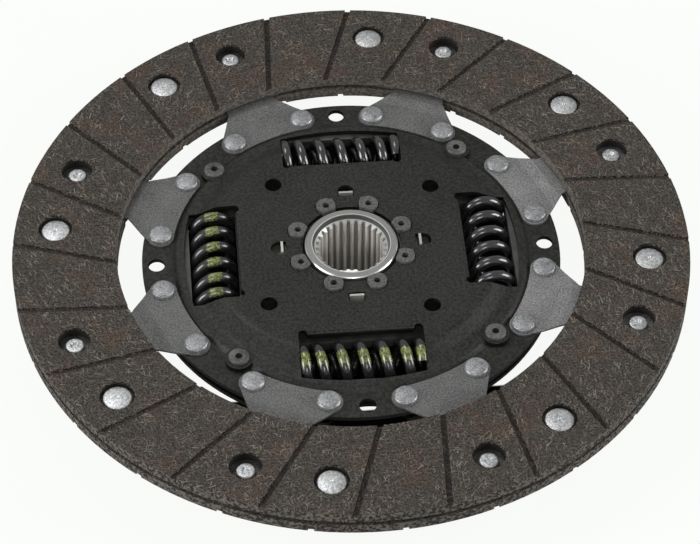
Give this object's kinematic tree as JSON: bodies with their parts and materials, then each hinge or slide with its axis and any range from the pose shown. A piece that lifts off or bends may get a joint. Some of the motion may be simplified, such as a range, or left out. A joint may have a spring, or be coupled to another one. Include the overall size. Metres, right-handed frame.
{
  "type": "clutch disc",
  "caption": "Friction clutch disc with riveted grooved facings, spring segments, coil spring torsion damper and internally splined hub.",
  "frame": {"origin": "on the disc axis, half way between the two facings", "axes": "+Z along the disc axis towards the flywheel; the damper springs lie at 0, 90, 180 and 270 degrees from +X"},
  "size_m": [0.228, 0.228, 0.0276],
  "materials": {
    "friction_facing": "pressed fibre composite, matte",
    "facing_rivet": "bright, lightly textured",
    "zinc_rivet": "satin",
    "pin_steel": "satin",
    "segment_steel": "matte, finely speckled",
    "black_plate": "semi-gloss black",
    "hub_steel": "machined",
    "flange_steel": "satin, dark",
    "lug_polymer": "satin",
    "spring_steel": "satin",
    "zinc_plate": "satin",
    "washer_composite": "matte",
    "spring_black": "gloss black",
    "inner_spring_steel": "satin"
  },
  "bodies": {
    "disc": {"carrier_plate": "black_plate", "counter_plate": "black_plate", "facing_flywheel_side": "friction_facing", "facing_pressure_side": "friction_facing", "flywheel_facing_rivets": "facing_rivet", "pressure_facing_rivets": "facing_rivet", "cushion_segment_1": "segment_steel", "cushion_segment_2": "segment_steel", "cushion_segment_3": "segment_steel", "cushion_segment_4": "segment_steel", "cushion_segment_5": "segment_steel", "cushion_segment_6": "segment_steel", "cushion_segment_7": "segment_steel", "cushion_segment_8": "segment_steel", "segment_rivets": "zinc_rivet", "stop_pins": "pin_steel", "friction_ring": "lug_polymer", "disc_spring": "spring_steel", "tab_plate": "zinc_plate", "upper_friction_washer": "washer_composite", "lower_friction_washer": "washer_composite", "guide_bush": "washer_composite"},
    "hub": {"hub": "hub_steel", "hub_flange": "flange_steel"},
    "damper_springs": {"damper_spring_1": "spring_black", "damper_spring_2": "spring_black", "damper_spring_3": "spring_black", "damper_spring_4": "spring_black", "inner_spring_1": "inner_spring_steel", "inner_spring_2": "inner_spring_steel"}
  },
  "joints": [
    {"name": "hub_twist", "type": "hinge", "parent": "disc", "child": "hub", "pos_m": [0, 0, 0], "axis": [0, 0, 1], "range_deg": [-8, 8], "stiffness_Nm_per_rad": 1500, "deforming": ["damper_spring_1", "damper_spring_2", "damper_spring_3", "damper_spring_4", "inner_spring_1", "inner_spring_2"]},
    {"name": "spring_follow", "type": "hinge", "parent": "disc", "child": "damper_springs", "pos_m": [0, 0, 0], "axis": [0, 0, 1], "range_deg": [-4, 4]}
  ],
  "couplings": [
    {"joint": "spring_follow", "follows": "hub_twist", "ratio": 0.5}
  ]
}
